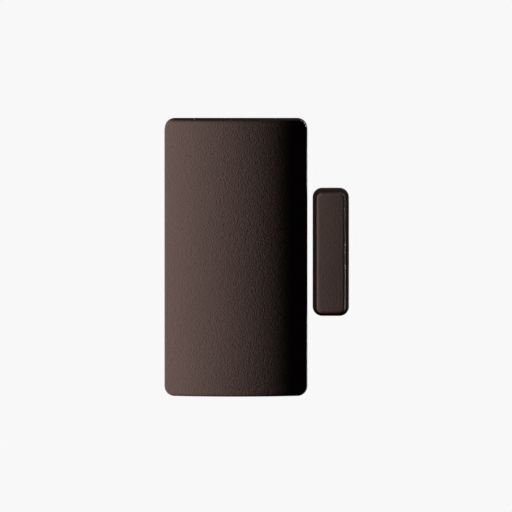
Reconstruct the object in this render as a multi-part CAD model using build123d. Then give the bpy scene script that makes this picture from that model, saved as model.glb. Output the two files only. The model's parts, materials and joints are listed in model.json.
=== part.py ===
"""Wireless door contact: a wall-mounted transmitter and the magnet unit that passes beside it.

Millimetres. X points from the transmitter to its magnet, +Y into the wall and +Z up along the long axis.
The origin is the centre of the transmitter's back, so the wall is the plane y = 0, and a "depth" is the
distance in front of it, which is -y.
"""

import os

from build123d import *

# Transmitter housing
BODY_WIDTH = 40.4
BODY_HEIGHT = 78.0
BODY_DEPTH = 24.0
CORNER_RADIUS = 2.8
BOW = 5.5  # how much further the middle of the front stands out than its sides
BOW_RADIUS = ((BODY_WIDTH / 2) ** 2 + BOW**2) / (2 * BOW)
FRONT_FILLET = 0.9
WALL = 1.8
FLOOR = 2.0
PARTING_DEPTH = 6.0
REVEAL = 0.2  # gap between the base's edge and the cover's
LIP_GAP = 0.15
LIP_THICKNESS = 1.0
LIP_DEPTH = 8.8
LIP_INSET = WALL + LIP_GAP
TRAY_INSET = LIP_INSET + LIP_THICKNESS
SADDLE_DEPTH = 7.0
SADDLE_HEIGHTS = (-22.0, 0.0)
TONGUE_X = 11.0
TONGUE_WIDTH = 5.0
TONGUE_DEPTH = 3.6
RIB_X = 6.0
RIB_HEIGHT = 1.5
PRY_WIDTH = 6.0
SCREW_PITCH = 60.0
SCREW_HOLE_RADIUS = 2.1

# Circuit board, which stands on posts
BOARD_WIDTH = 34.0
BOARD_HEIGHT = 71.0
BOARD_BACK = 4.5
BOARD_THICKNESS = 1.6
BOARD_FRONT = BOARD_BACK + BOARD_THICKNESS
BAY_RIGHT = 1.2  # the battery bay is cut out of the board's left side
BAY_BOTTOM = -31.0
BAY_TOP = 8.5
PINNED_POSTS = ((-14.3, 31.5), (14.8, -14.0))
PLAIN_POSTS = ((14.3, 31.5), (-14.3, -33.2), (15.3, -33.2))
POST_RADIUS = 1.6
PIN_RADIUS = 1.0
LEAD_TIP_DEPTH = 3.4  # how near the wall the soldered leads end

# Battery
CELL_RADIUS = 8.5
CELL_LENGTH = 34.5
CELL_X = -8.0
CELL_DEPTH = 10.9
CELL_BOTTOM = -28.2
CELL_TOP = CELL_BOTTOM + CELL_LENGTH
CAP_HEIGHT = 1.2
SLEEVE = 0.2
CAN_WALL = 0.3
CLIP_THICKNESS = 0.4
CLIP_WIDTH = 8.0
CLIP_DEPTH = 15.5
CLIP_FOOT = 4.2
SPRING_HEIGHT = 1.8
SPRING_WIRE = 0.3

# Reed switch
REED_X = 14.6
REED_Z = 1.1
REED_DEPTH = 7.7
GLASS_LENGTH = 14.0
GLASS_RADIUS = 1.05
GLASS_BORE = 0.8
SEAL = 1.0
LEAD_RADIUS = 0.3
BLADE_THICKNESS = 0.2
BLADE_WIDTH = 0.9
BLADE_OVERLAP = 1.2
CONTACT_GAP = 0.02

# Tamper switch
TAMPER_X = 6.5
TAMPER_Z = -10.0
TAMPER_SIZE = 6.0
TAMPER_FRONT = 10.6
BUTTON_RADIUS = 0.9
BUTTON_TIP = 11.5
LEVER_THICKNESS = 0.3
LEVER_WIDTH = 3.2
LEVER_BACK = BUTTON_TIP + 0.05
LEVER_PIVOT_Z = TAMPER_Z - 2.6
LEVER_END_Z = TAMPER_Z + 5.0
PIVOT_RADIUS = 0.35
PRESS_Z = LEVER_END_Z - 1.6

# Terminal block
BLOCK_CENTRES = {"left": 7.0, "right": 11.0}
BLOCK_LOW = -34.0
BLOCK_HIGH = -27.0
BLOCK_LEFT = 5.0
BLOCK_RIGHT = 13.0
BLOCK_FRONT = 13.0
SCREW_Z = -30.5
WELL_FLOOR = 11.3
CLAMP_BACK = 6.9
CLAMP_TOP = -28.7
BAR_BACK = 8.9
WIRE_SLOT_X = 9.0
WIRE_SLOT_Z = -21.5

# Controller chip
CHIP_X = -4.5
CHIP_Z = 24.5
CHIP_LENGTH = 10.3
CHIP_WIDTH = 7.5
CHIP_PITCH = 1.27
LEAD_THICKNESS = 0.25

# Small surface-mount parts
CHIP_PART_LENGTH = 2.0
CHIP_PART_WIDTH = 1.25
CHIP_PART_END = 0.4
RESISTOR_HEIGHT = 0.5
CAPACITOR_HEIGHT = 0.9

# Magnet unit
MAGNET_X = 26.9
MAGNET_Z = 1.0
MAGNET_WIDTH = 10.3
MAGNET_HEIGHT = 36.3
MAGNET_DEPTH = 11.6
MAGNET_CORNER = 2.7
RIM_DEPTH = 3.3
RIM_WIDTH = 1.1
MAGNET_CAP_WALL = 1.0
MAGNET_FLOOR = 1.6
MAGNET_SCREW_PITCH = 26.0
MAGNET_SCREW_RADIUS = 1.5
BAR_WIDTH = 4.2
BAR_LENGTH = 19.0
BAR_FRONT = 8.2


def plate(width, height, back, front, radius=0, x=0, z=0):
    """A slab facing the wall, between two depths, with rounded corners if it has a radius."""
    outline = RectangleRounded(width, height, radius) if radius else Rectangle(width, height)
    return extrude(Plane.XZ.offset(back) * Pos(x, z) * outline, front - back)


def between(left, right, low, high, back, front):
    """A box given by its six sides."""
    return plate(right - left, high - low, back, front, x=(left + right) / 2, z=(low + high) / 2)


def strip(x, half_width, from_z, to_z, back, front):
    """A box centred on x that runs between two heights, given in either order."""
    return between(x - half_width, x + half_width, min(from_z, to_z), max(from_z, to_z), back, front)


def peg(radius, back, front, x, z):
    """A round rod that points out of the wall."""
    return extrude(Plane.XZ.offset(back) * Pos(x, z) * Circle(radius), front - back)


def upright(radius, low, high, x, depth):
    """A round rod along Z."""
    return Pos(x, -depth, (low + high) / 2) * Cylinder(radius, high - low)


def axle(radius, width, x, depth, z):
    """A round rod along X."""
    return Pos(x, -depth, z) * Rot(0, 90, 0) * Cylinder(radius, width)


def wire(radius, points, bend):
    """A round wire through (x, depth, z) points, with a bend at each corner."""
    path = FilletPolyline(*[(x, -depth, z) for x, depth, z in points], radius=bend)
    return sweep(Plane(origin=path @ 0, z_dir=path % 0) * Circle(radius), path=path)


def bowed_block(inset, back):
    """The transmitter's outer form shrunk by inset all round, from a depth to its bowed front."""
    radius = max(CORNER_RADIUS - inset, 0.8)
    outline = plate(BODY_WIDTH - 2 * inset, BODY_HEIGHT - 2 * inset, back, BODY_DEPTH, radius)
    bow = Pos(0, BOW_RADIUS - BODY_DEPTH, 0) * Cylinder(BOW_RADIUS - inset, BODY_HEIGHT)
    return outline & bow


def inset_plate(inset, back, front, radius):
    """A slab whose outline lies inside the transmitter's by the same inset all round."""
    return plate(BODY_WIDTH - 2 * inset, BODY_HEIGHT - 2 * inset, back, front, radius)


def make_mounting_base():
    inner_x = BODY_WIDTH / 2 - TRAY_INSET
    inner_z = BODY_HEIGHT / 2 - TRAY_INSET
    root = FLOOR - 0.5  # what stands on the floor starts inside it
    tray = inset_plate(0, 0, PARTING_DEPTH, CORNER_RADIUS)
    tray = chamfer(tray.edges().group_by(Axis.Y)[-1], 0.3)
    lip = inset_plate(LIP_INSET, PARTING_DEPTH - 0.5, LIP_DEPTH, 1.0)
    lip = chamfer(lip.edges().group_by(Axis.Y)[0], 0.3)
    base = tray + lip - inset_plate(TRAY_INSET, FLOOR, LIP_DEPTH + 1, 0.6)
    for saddle_z in SADDLE_HEIGHTS:
        base += between(-inner_x - 0.2, BAY_RIGHT - 0.4, saddle_z - 1.5, saddle_z + 1.5, root, SADDLE_DEPTH)
    base -= upright(CELL_RADIUS + 0.1, BAY_BOTTOM, BAY_TOP, CELL_X, CELL_DEPTH)
    for x, z in PINNED_POSTS + PLAIN_POSTS:
        base += peg(POST_RADIUS, root, BOARD_BACK, x, z)
    for x, z in PINNED_POSTS:
        pin = peg(PIN_RADIUS, BOARD_BACK - 0.5, BOARD_FRONT + 0.8, x, z)
        base += chamfer(pin.edges().group_by(Axis.Y)[0], 0.35)
    tab_back = BOARD_FRONT + 0.1
    for side in (-1, 1):
        base += strip(0, 3, side * (inner_z - 0.9), side * (inner_z + 0.9), tab_back, tab_back + 1)
        base += strip(side * RIB_X, 0.5, 16, inner_z + 0.2, root, FLOOR + RIB_HEIGHT)
        screw_z = side * SCREW_PITCH / 2
        base += peg(SCREW_HOLE_RADIUS + 2.6, root, FLOOR + 0.5, 0, screw_z)
        base -= peg(SCREW_HOLE_RADIUS, -1, FLOOR + 1, 0, screw_z)
        tongue_room = TONGUE_WIDTH / 2 + 0.4
        slot_top = BODY_HEIGHT / 2 - 0.6
        base -= strip(side * TONGUE_X, tongue_room, inner_z - 1, slot_top, TONGUE_DEPTH - 0.5, LIP_DEPTH + 1)
    base -= plate(8, 6, -1, FLOOR + 1, 0.8, x=WIRE_SLOT_X, z=WIRE_SLOT_Z)
    base -= plate(PRY_WIDTH, 2.4, PARTING_DEPTH - 1, PARTING_DEPTH + 0.1, z=-BODY_HEIGHT / 2)
    return base


def make_front_cover():
    back = PARTING_DEPTH + REVEAL
    shell = bowed_block(0, back)
    shell = fillet(shell.faces().sort_by(Axis.Y)[0].edges(), FRONT_FILLET)
    cover = shell - bowed_block(WALL, back - 1)
    inside = bowed_block(WALL - 0.6, back)
    cell_room = upright(CELL_RADIUS + 0.5, -BODY_HEIGHT, BODY_HEIGHT, CELL_X, CELL_DEPTH)
    for rib_z in SADDLE_HEIGHTS:
        cell_rib = strip(CELL_X, 6, rib_z - 0.6, rib_z + 0.6, CELL_DEPTH, BODY_DEPTH)
        cover += (cell_rib & inside) - cell_room
    hollow = bowed_block(WALL + RIB_HEIGHT, PARTING_DEPTH)
    for rib_z in (20.0, 29.0):
        cover += (strip(0, 15, rib_z - 0.5, rib_z + 0.5, PARTING_DEPTH, BODY_DEPTH) & inside) - hollow
    post_tip = LEVER_BACK + LEVER_THICKNESS + 0.06
    cover += peg(1.3, post_tip, BODY_DEPTH, TAMPER_X, PRESS_Z) & inside
    inner_top = BODY_HEIGHT / 2 - WALL
    for side in (-1, 1):
        tongue_x = side * TONGUE_X
        cover += strip(tongue_x, TONGUE_WIDTH / 2, inner_top, inner_top + 1, TONGUE_DEPTH, back + 1)
    cover -= plate(8, 1.2, back + 0.8, back + 2.0, z=-inner_top)
    cover -= plate(PRY_WIDTH, 2 * WALL + 0.1, back - 0.1, back + 0.9, z=-BODY_HEIGHT / 2)
    return cover


def make_circuit_board():
    board = plate(BOARD_WIDTH, BOARD_HEIGHT, BOARD_BACK, BOARD_FRONT, 1.0)
    board -= between(-BOARD_WIDTH, BAY_RIGHT, BAY_BOTTOM, BAY_TOP, 0, BODY_DEPTH)
    for x, z in PINNED_POSTS:
        board -= peg(PIN_RADIUS + 0.12, 0, BODY_DEPTH, x, z)
    board -= plate(7, 5, 0, BODY_DEPTH, 0.8, x=WIRE_SLOT_X, z=WIRE_SLOT_Z)
    for x, z in lead_holes():
        board -= peg(0.6, 0, BODY_DEPTH, x, z)
    return board


def reed_ends():
    """Heights at which the reed switch's two leads turn towards the board."""
    reach = GLASS_LENGTH / 2 + 2.4
    return REED_Z - reach, REED_Z + reach


def antenna_ends():
    return (-10.5, 33.4), (10.5, 33.4)


def terminal_pin_z():
    return BLOCK_LOW + 1.05


def lead_holes():
    reed = [(REED_X, z) for z in reed_ends()]
    pins = [(x, terminal_pin_z()) for x in BLOCK_CENTRES.values()]
    return reed + pins + list(antenna_ends())


def make_battery():
    body_top = CELL_TOP - CAP_HEIGHT
    can_radius = CELL_RADIUS - SLEEVE
    groove_z = body_top - 2.6
    can = upright(can_radius, CELL_BOTTOM, body_top, CELL_X, CELL_DEPTH)
    can = fillet(can.edges().filter_by(GeomType.CIRCLE), 0.6)
    can -= Pos(CELL_X, -CELL_DEPTH, groove_z) * Torus(can_radius + 0.25, 0.6)
    core_low = CELL_BOTTOM + CAN_WALL
    core_high = groove_z - 1.0
    can -= upright(can_radius - CAN_WALL, core_low, core_high, CELL_X, CELL_DEPTH)
    core = upright(can_radius - CAN_WALL - 0.05, core_low + 0.05, core_high - 0.05, CELL_X, CELL_DEPTH)
    core -= upright(0.8, core_low, core_high, CELL_X, CELL_DEPTH)
    sleeve = upright(CELL_RADIUS, CELL_BOTTOM + 0.7, body_top - 0.7, CELL_X, CELL_DEPTH)
    sleeve -= upright(can_radius, CELL_BOTTOM, body_top, CELL_X, CELL_DEPTH)
    seal = upright(6.4, body_top, body_top + 0.25, CELL_X, CELL_DEPTH)
    seal -= upright(3.5, body_top - 1, body_top + 1, CELL_X, CELL_DEPTH)
    cap = upright(3.25, body_top, CELL_TOP, CELL_X, CELL_DEPTH)
    cap = fillet(cap.edges().group_by(Axis.Z)[-1], 0.4)
    return {
        "battery_can": can,
        "battery_core": core,
        "battery_sleeve": sleeve,
        "battery_seal_ring": seal,
        "battery_positive_cap": cap,
    }


def make_clip(face_z, side):
    """A bent contact strip: side is 1 for the one above the cell, and -1 for the one below it."""
    foot_top = BOARD_FRONT + CLIP_THICKNESS
    outer_z = face_z + side * CLIP_THICKNESS
    clip = strip(CELL_X, CLIP_WIDTH / 2, face_z, outer_z, BOARD_FRONT, CLIP_DEPTH)
    clip += strip(CELL_X, CLIP_WIDTH / 2, face_z, face_z + side * CLIP_FOOT, BOARD_FRONT, foot_top)
    across = clip.edges().filter_by(Axis.X)
    clip = fillet(across.sort_by_distance((CELL_X, -BOARD_FRONT, face_z))[0], CLIP_THICKNESS * 0.8)
    return clip


def make_contacts():
    positive_face = CELL_TOP + 0.45
    positive = make_clip(positive_face, 1)
    dimple = Pos(CELL_X, -CELL_DEPTH, CELL_TOP + 2.05) * Sphere(2.0)
    positive += dimple & strip(CELL_X, 3, CELL_TOP, positive_face + 0.1, CELL_DEPTH - 3, CELL_DEPTH + 3)
    coil_low = CELL_BOTTOM - SPRING_HEIGHT - SPRING_WIRE - 0.05
    negative = make_clip(coil_low - SPRING_WIRE - 0.05, -1)
    coil = Helix(pitch=1.0, height=SPRING_HEIGHT, radius=4.2, cone_angle=-30)
    coil = Pos(CELL_X, -CELL_DEPTH, coil_low) * coil
    spring = sweep(Plane(origin=coil @ 0, z_dir=coil % 0) * Circle(SPRING_WIRE), path=coil, is_frenet=True)
    return {"battery_clip_positive": positive, "battery_clip_negative": negative, "battery_spring": spring}


def make_reed_switch():
    """A glass tube with a fixed blade above and a moving one below, which overlap at the tube's middle."""
    low = REED_Z - GLASS_LENGTH / 2
    high = REED_Z + GLASS_LENGTH / 2
    glass = upright(GLASS_RADIUS, low, high, REED_X, REED_DEPTH)
    glass = fillet(glass.edges().filter_by(GeomType.CIRCLE), 0.6)
    glass -= upright(GLASS_BORE, low + SEAL, high - SEAL, REED_X, REED_DEPTH)
    glass -= upright(LEAD_RADIUS + 0.01, low - 1, high + 1, REED_X, REED_DEPTH)
    blade_root = low + SEAL + 0.5
    lower_bend, upper_bend = reed_ends()
    leads = []
    for start, end in ((high - SEAL - 0.3, upper_bend), (blade_root, lower_bend)):
        route = [(REED_X, REED_DEPTH, start), (REED_X, REED_DEPTH, end), (REED_X, LEAD_TIP_DEPTH, end)]
        leads.append(wire(LEAD_RADIUS, route, 0.8))
    upper, lower = leads
    near = CONTACT_GAP / 2
    far = near + BLADE_THICKNESS
    back = REED_DEPTH - BLADE_WIDTH / 2
    front = REED_DEPTH + BLADE_WIDTH / 2
    reach = BLADE_OVERLAP / 2
    upper += between(REED_X + near, REED_X + far, REED_Z - reach, high - SEAL, back, front)
    blade = between(REED_X - far, REED_X - near, blade_root + 0.05, REED_Z + reach, back, front)
    return {"reed_envelope": glass, "reed_lead_upper": upper, "reed_lead_lower": lower, "reed_blade": blade}


def make_tamper_switch():
    """A plunger switch whose sprung lever is held down by the cover's post."""
    pivot_depth = LEVER_BACK + 0.05
    half_lever = LEVER_WIDTH / 2
    body = plate(TAMPER_SIZE, TAMPER_SIZE, BOARD_FRONT, TAMPER_FRONT, 0.4, x=TAMPER_X, z=TAMPER_Z)
    for side in (-1, 1):
        ear_x = TAMPER_X + side * (half_lever + 0.6)
        low = LEVER_PIVOT_Z - 0.7
        body += strip(ear_x, 0.45, low, low + 1.4, TAMPER_FRONT - 0.5, pivot_depth + 0.6)
    body -= axle(PIVOT_RADIUS, 2 * TAMPER_SIZE, TAMPER_X, pivot_depth, LEVER_PIVOT_Z)
    body -= peg(BUTTON_RADIUS + 0.1, BOARD_FRONT + 1.5, TAMPER_FRONT + 1, TAMPER_X, TAMPER_Z)
    button = peg(BUTTON_RADIUS, BOARD_FRONT + 1.8, BUTTON_TIP, TAMPER_X, TAMPER_Z)
    button = fillet(button.edges().group_by(Axis.Y)[0], 0.3)
    lever = strip(TAMPER_X, half_lever, LEVER_PIVOT_Z, LEVER_END_Z, LEVER_BACK, LEVER_BACK + LEVER_THICKNESS)
    lever += axle(PIVOT_RADIUS + 0.3, LEVER_WIDTH, TAMPER_X, pivot_depth, LEVER_PIVOT_Z)
    lever -= axle(PIVOT_RADIUS + 0.03, 2 * LEVER_WIDTH, TAMPER_X, pivot_depth, LEVER_PIVOT_Z)
    pin = axle(PIVOT_RADIUS, LEVER_WIDTH + 2.1, TAMPER_X, pivot_depth, LEVER_PIVOT_Z)
    return {
        "tamper_switch_body": body,
        "tamper_button": button,
        "tamper_lever": lever,
        "tamper_pivot_pin": pin,
    }


def make_terminals():
    """A two-way block. Each captive screw lifts a clamp, which presses its wire against a fixed bar."""
    block = between(BLOCK_LEFT, BLOCK_RIGHT, BLOCK_LOW, BLOCK_HIGH, BOARD_FRONT, BLOCK_FRONT)
    block = chamfer(block.edges().filter_by(Axis.X).group_by(Axis.Y)[0], 0.8)
    pin_z = terminal_pin_z()
    pin_low = pin_z - 0.25
    pieces = {}
    pins = []
    for side, x in BLOCK_CENTRES.items():
        block -= strip(x, 1.55, BLOCK_LOW + 0.7, CLAMP_TOP + 0.2, CLAMP_BACK - 0.1, WELL_FLOOR - 0.05)
        block -= strip(x, 1.3, CLAMP_TOP - 0.3, BLOCK_HIGH + 1, CLAMP_BACK + 0.4, BAR_BACK + 0.7)
        block -= peg(1.6, WELL_FLOOR, BLOCK_FRONT + 1, x, SCREW_Z)
        block -= peg(0.95, WELL_FLOOR - 1, WELL_FLOOR + 1, x, SCREW_Z)
        block -= strip(x, 0.6, pin_z - 0.35, pin_z + 0.35, BOARD_FRONT - 1, 7)
        head_back = WELL_FLOOR + 0.05
        head = peg(1.45, head_back, head_back + 1.2, x, SCREW_Z)
        head -= plate(3.2, 0.5, head_back + 0.6, head_back + 2, x=x, z=SCREW_Z)
        pieces[f"terminal_screw_{side}"] = head + peg(0.8, BAR_BACK + 0.55, head_back + 0.5, x, SCREW_Z)
        clamp = strip(x, 1.4, CLAMP_TOP - 3.5, CLAMP_TOP, CLAMP_BACK, CLAMP_BACK + 3.4)
        clamp -= strip(x, 1.1, BLOCK_LOW, BLOCK_HIGH, CLAMP_BACK + 0.5, CLAMP_BACK + 2.8)
        clamp -= peg(0.85, BAR_BACK, WELL_FLOOR, x, SCREW_Z)
        pieces[f"terminal_clamp_{side}"] = clamp
        pin = strip(x, 0.9, pin_low, CLAMP_TOP, BAR_BACK, BAR_BACK + 0.5)
        pins.append(pin + strip(x, 0.3, pin_low, pin_low + 0.5, LEAD_TIP_DEPTH, BAR_BACK + 0.5))
    pieces["terminal_block"] = block
    pieces["terminal_pins"] = Compound(pins)
    return pieces


def make_controller():
    """A wide sixteen-lead package, with gull-wing leads along its upper and lower sides."""
    body = plate(CHIP_LENGTH, CHIP_WIDTH, BOARD_FRONT + 0.1, BOARD_FRONT + 2.4, x=CHIP_X, z=CHIP_Z)
    body = chamfer(body.edges().group_by(Axis.Y)[0], 0.25)
    shoulder = BOARD_FRONT + 1.35
    leads = []
    for side in (-1, 1):
        edge = CHIP_Z + side * CHIP_WIDTH / 2
        heel = edge + side * 0.3
        knee = heel + side * LEAD_THICKNESS
        for place in range(8):
            x = CHIP_X + (place - 3.5) * CHIP_PITCH
            lead = strip(x, 0.2, edge, knee, shoulder - LEAD_THICKNESS, shoulder)
            lead += strip(x, 0.2, heel, knee, BOARD_FRONT, shoulder)
            lead += strip(x, 0.2, heel, heel + side, BOARD_FRONT, BOARD_FRONT + LEAD_THICKNESS)
            leads.append(lead)
    return {"controller_chip": body, "controller_leads": Compound(leads)}


def make_cans():
    resonator_x, resonator_z = 9.0, 24.5
    flange = peg(4.6, BOARD_FRONT + 0.1, BOARD_FRONT + 0.6, resonator_x, resonator_z)
    dome = peg(4.1, BOARD_FRONT + 0.3, BOARD_FRONT + 3.4, resonator_x, resonator_z)
    dome = fillet(dome.edges().group_by(Axis.Y)[0], 0.5)
    crystal_x, crystal_z = 9.6, 15.4
    crystal = plate(10.2, 3.8, BOARD_FRONT + 0.5, BOARD_FRONT + 3.9, 1.85, x=crystal_x, z=crystal_z)
    crystal = fillet(crystal.edges().group_by(Axis.Y)[0], 0.4)
    crystal += plate(11.2, 4.7, BOARD_FRONT + 0.1, BOARD_FRONT + 0.5, 2.3, x=crystal_x, z=crystal_z)
    tank_x, tank_z = 0.3, 14.0
    tank_base = plate(6.6, 6.6, BOARD_FRONT + 0.05, BOARD_FRONT + 0.9, x=tank_x, z=tank_z)
    corners = tank_base.edges().filter_by(Axis.Y).sort_by(Axis.Z)[-2:]
    tank_base = chamfer(corners, 1.2)
    tank = peg(3.1, BOARD_FRONT + 0.9, BOARD_FRONT + 5.4, tank_x, tank_z)
    tank = fillet(tank.edges().group_by(Axis.Y)[0], 0.35)
    return {
        "resonator_can": flange + dome,
        "crystal_can": crystal,
        "capacitor_base": tank_base,
        "capacitor_can": tank,
    }


def make_chip_part(x, z, height, angle):
    """A small two-ended part, turned by an angle: its body, and its two metal ends."""
    turn = Pos(x, 0, z) * Rot(0, angle, 0)
    ends_start = CHIP_PART_LENGTH / 2 - CHIP_PART_END
    front = BOARD_FRONT + height
    body = turn * plate(2 * ends_start, CHIP_PART_WIDTH - 0.06, BOARD_FRONT + 0.03, front - 0.03)
    ends = []
    for side in (-1, 1):
        end_x = side * (ends_start + CHIP_PART_END / 2)
        ends.append(turn * plate(CHIP_PART_END, CHIP_PART_WIDTH, BOARD_FRONT, front, x=end_x))
    return body, ends


def make_transistor(x, z):
    """A small package with two legs below it and one above."""
    package = plate(2.9, 1.3, BOARD_FRONT + 0.1, BOARD_FRONT + 1.0, x=x, z=z)
    for leg_x, side in ((x - 0.95, -1), (x + 0.95, -1), (x, 1)):
        package += strip(leg_x, 0.2, z + side * 0.6, z + side * 1.2, BOARD_FRONT, BOARD_FRONT + 0.3)
    return package


def make_small_parts():
    places = {RESISTOR_HEIGHT: [], CAPACITOR_HEIGHT: []}
    for row in range(5):
        places[RESISTOR_HEIGHT].append((-13.6, 14.5 + 2.9 * row, 0))
    for row in range(3):
        for column in range(3):
            height = CAPACITOR_HEIGHT if (row + column) % 2 else RESISTOR_HEIGHT
            places[height].append((3.4 + 3.1 * column, -2.6 + 3.2 * row, 90))
    for x in (4.0, 8.0):
        places[CAPACITOR_HEIGHT].append((x, -16.2, 0))
    bodies = {RESISTOR_HEIGHT: [], CAPACITOR_HEIGHT: []}
    all_ends = []
    for height, found in places.items():
        for x, z, angle in found:
            body, ends = make_chip_part(x, z, height, angle)
            bodies[height].append(body)
            all_ends += ends
    transistors = [make_transistor(x, z) for x, z in ((2.6, 20.4), (14.7, -21.5), (-10.2, 17.4))]
    return {
        "chip_resistors": Compound(bodies[RESISTOR_HEIGHT]),
        "chip_capacitors": Compound(bodies[CAPACITOR_HEIGHT]),
        "chip_end_caps": Compound(all_ends),
        "transistors": Compound(transistors),
    }


def make_antenna():
    rise = 12.5
    (left, left_z), (right, right_z) = antenna_ends()
    route = [(left, LEAD_TIP_DEPTH, left_z), (left, rise, left_z)]
    route += [(right, rise, right_z), (right, LEAD_TIP_DEPTH, right_z)]
    return wire(0.45, route, 2.4)


def make_magnet_unit():
    """A base with a low rim, a bar magnet between two stops, and the bowed, narrower cap that snaps over them."""
    cap_width = MAGNET_WIDTH - 2 * RIM_WIDTH
    cap_height = MAGNET_HEIGHT - 2 * RIM_WIDTH
    inner_width = cap_width - 2 * MAGNET_CAP_WALL
    inner_height = cap_height - 2 * MAGNET_CAP_WALL
    collar_width = inner_width - 0.2
    collar_height = inner_height - 0.2
    bay_width = collar_width - 1.4
    cap_back = RIM_DEPTH + 0.1
    inner_front = MAGNET_DEPTH - MAGNET_CAP_WALL
    place = {"x": MAGNET_X, "z": MAGNET_Z}

    base = plate(MAGNET_WIDTH, MAGNET_HEIGHT, 0, RIM_DEPTH, MAGNET_CORNER, **place)
    base = fillet(base.edges().group_by(Axis.Y)[0], 0.7)
    base += plate(collar_width, collar_height, RIM_DEPTH - 0.5, RIM_DEPTH + 2.2, 0.5, **place)
    base -= plate(bay_width, collar_height - 1.4, MAGNET_FLOOR, MAGNET_DEPTH, 0.3, **place)
    for side in (-1, 1):
        stop_z = MAGNET_Z + side * (BAR_LENGTH / 2 + 0.45)
        screw_z = MAGNET_Z + side * MAGNET_SCREW_PITCH / 2
        base += plate(bay_width + 0.4, 0.7, MAGNET_FLOOR - 0.5, RIM_DEPTH + 1.7, x=MAGNET_X, z=stop_z)
        base -= peg(MAGNET_SCREW_RADIUS, -1, MAGNET_FLOOR + 1, MAGNET_X, screw_z)

    bow = Pos(MAGNET_X, BOW_RADIUS - MAGNET_DEPTH, MAGNET_Z) * Cylinder(BOW_RADIUS, MAGNET_HEIGHT)
    cap = plate(cap_width, cap_height, cap_back, MAGNET_DEPTH, 1.6, **place) & bow
    cap = fillet(cap.faces().sort_by(Axis.Y)[0].edges(), 0.9)
    cap -= plate(inner_width, inner_height, cap_back - 1, inner_front, 0.6, **place)
    for rib_z in (MAGNET_Z - BAR_LENGTH / 3, MAGNET_Z + BAR_LENGTH / 3):
        cap += plate(inner_width + 0.4, 0.8, BAR_FRONT + 0.3, inner_front + 0.2, x=MAGNET_X, z=rib_z)

    bar = plate(BAR_WIDTH, BAR_LENGTH, MAGNET_FLOOR + 0.02, BAR_FRONT, **place)
    bar = chamfer(bar.edges(), 0.25)
    return {"magnet_base": base, "magnet_cap": cap, "magnet_bar": bar}


def make_parts():
    parts = {
        "mounting_base": make_mounting_base(),
        "front_cover": make_front_cover(),
        "circuit_board": make_circuit_board(),
        "antenna_wire": make_antenna(),
    }
    groups = (make_battery, make_contacts, make_reed_switch, make_tamper_switch, make_terminals)
    groups += (make_controller, make_cans, make_small_parts, make_magnet_unit)
    for make_group in groups:
        parts.update(make_group())
    return parts


os.makedirs("parts", exist_ok=True)
for name, solid in make_parts().items():
    export_step(solid, f"parts/{name}.step")
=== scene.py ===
"""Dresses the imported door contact: a finish for every part, the soldered and printed detail, and a studio.

The scene is in metres: +X points from the transmitter to its magnet, +Y into the wall and +Z up. The sizes
of parts are written here in millimetres, and a "depth" is a distance in front of the wall, which is -y.
"""

import json
import math

import bmesh
import bpy
from mathutils import Matrix, Vector

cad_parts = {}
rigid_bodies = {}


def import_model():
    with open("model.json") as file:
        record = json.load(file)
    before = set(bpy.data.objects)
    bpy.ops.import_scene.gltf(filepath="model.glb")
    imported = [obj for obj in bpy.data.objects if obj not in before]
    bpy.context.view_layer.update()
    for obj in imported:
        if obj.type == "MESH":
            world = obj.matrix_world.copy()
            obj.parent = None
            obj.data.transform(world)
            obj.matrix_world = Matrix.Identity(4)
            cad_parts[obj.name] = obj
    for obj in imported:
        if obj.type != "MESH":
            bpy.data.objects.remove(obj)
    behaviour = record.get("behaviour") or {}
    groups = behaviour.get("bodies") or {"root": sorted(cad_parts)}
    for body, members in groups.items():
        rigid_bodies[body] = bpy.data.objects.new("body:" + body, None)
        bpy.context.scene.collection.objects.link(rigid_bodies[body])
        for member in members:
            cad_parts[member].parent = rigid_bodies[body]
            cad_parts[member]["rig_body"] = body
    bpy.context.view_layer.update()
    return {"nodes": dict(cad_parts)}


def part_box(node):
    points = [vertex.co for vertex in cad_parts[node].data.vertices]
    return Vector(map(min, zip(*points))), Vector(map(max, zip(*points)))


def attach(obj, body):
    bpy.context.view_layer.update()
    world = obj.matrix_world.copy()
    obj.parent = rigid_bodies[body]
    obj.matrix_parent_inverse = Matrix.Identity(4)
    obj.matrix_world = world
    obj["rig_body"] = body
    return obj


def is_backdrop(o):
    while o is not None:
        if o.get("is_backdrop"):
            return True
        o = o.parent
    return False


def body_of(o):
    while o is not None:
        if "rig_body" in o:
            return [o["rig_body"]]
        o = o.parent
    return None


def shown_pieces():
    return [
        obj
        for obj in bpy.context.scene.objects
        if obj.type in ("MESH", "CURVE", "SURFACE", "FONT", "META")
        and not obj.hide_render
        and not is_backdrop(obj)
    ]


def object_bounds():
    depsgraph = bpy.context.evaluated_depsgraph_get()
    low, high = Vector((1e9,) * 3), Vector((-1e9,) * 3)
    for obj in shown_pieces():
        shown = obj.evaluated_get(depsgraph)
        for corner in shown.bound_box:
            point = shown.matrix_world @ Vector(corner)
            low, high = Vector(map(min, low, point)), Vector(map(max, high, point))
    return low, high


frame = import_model()

bl_info = {
    "name": "Door contact dresser",
    "version": (1, 0, 0),
    "blender": (4, 5, 0),
    "location": "View3D > Sidebar > Door contact",
    "description": "Finishes, solder, printed circuit and studio for a wireless door contact",
    "category": "Object",
}

MM = 0.001
NODES = frame["nodes"]
MAGNET_BODIES = ("magnet_unit", "magnet_cap")
SHELLS = ("mounting_base", "front_cover", "cover_ejector_marks", "magnet_base", "magnet_cap")

# The studio, in metres
LIGHT_DISTANCE = 0.9
AIM_SHIFT = Vector((-0.00026, 0.0, 0.00028))  # from the object's middle to the middle of the view
FLOOR_RADIUS, FLOOR_HEIGHT = 0.4, -0.13

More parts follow.
